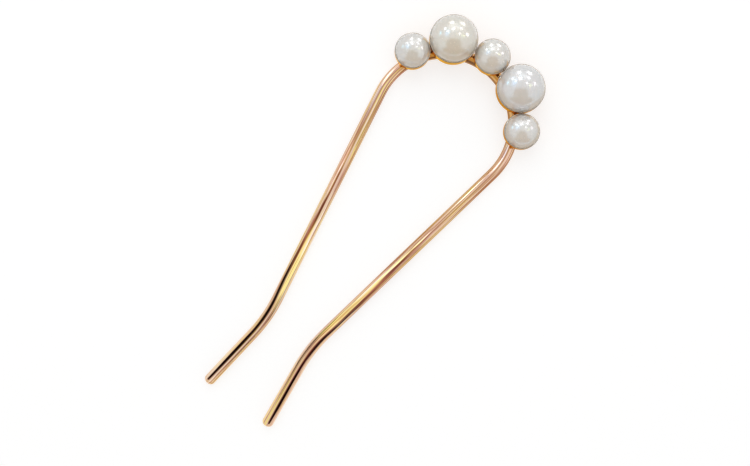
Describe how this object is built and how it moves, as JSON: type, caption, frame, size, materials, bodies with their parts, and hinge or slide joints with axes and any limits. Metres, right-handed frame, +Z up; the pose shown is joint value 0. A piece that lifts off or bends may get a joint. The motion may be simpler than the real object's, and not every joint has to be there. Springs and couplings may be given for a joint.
{
  "type": "u-shaped hairpin",
  "caption": "Flat-lying U-shaped hairpin: a bent round-wire fork with flared tips, and a row of flat-backed pearls in pressed cups brazed along its arch, for holding up a bun.",
  "frame": {"origin": "middle of the footprint, on the surface that the wire lies on", "axes": "+X across the fork, +Y along it from the tips to the arch, +Z up, the way the pearls face"},
  "size_m": [0.0406, 0.1068, 0.0119],
  "materials": {
    "wire_plating": "polished pale gold plating on brass wire",
    "cup_plating": "polished yellow gold plating on pressed brass sheet",
    "braze": "plated braze, slightly rough",
    "pearl": "pearl lacquer on moulded plastic",
    "epoxy": "cured clear epoxy"
  },
  "bodies": {
    "root": {"fork_wire": "wire_plating", "cup_end_left": "cup_plating", "cup_large_left": "cup_plating", "cup_centre": "cup_plating", "cup_large_right": "cup_plating", "cup_end_right": "cup_plating", "pearl_end_left": "pearl", "pearl_large_left": "pearl", "pearl_centre": "pearl", "pearl_large_right": "pearl", "pearl_end_right": "pearl", "bond_end_left": "epoxy", "bond_large_left": "epoxy", "bond_centre": "epoxy", "bond_large_right": "epoxy", "bond_end_right": "epoxy", "braze_end_left": "braze", "braze_large_left": "braze", "braze_centre": "braze", "braze_large_right": "braze", "braze_end_right": "braze"}
  },
  "joints": []
}
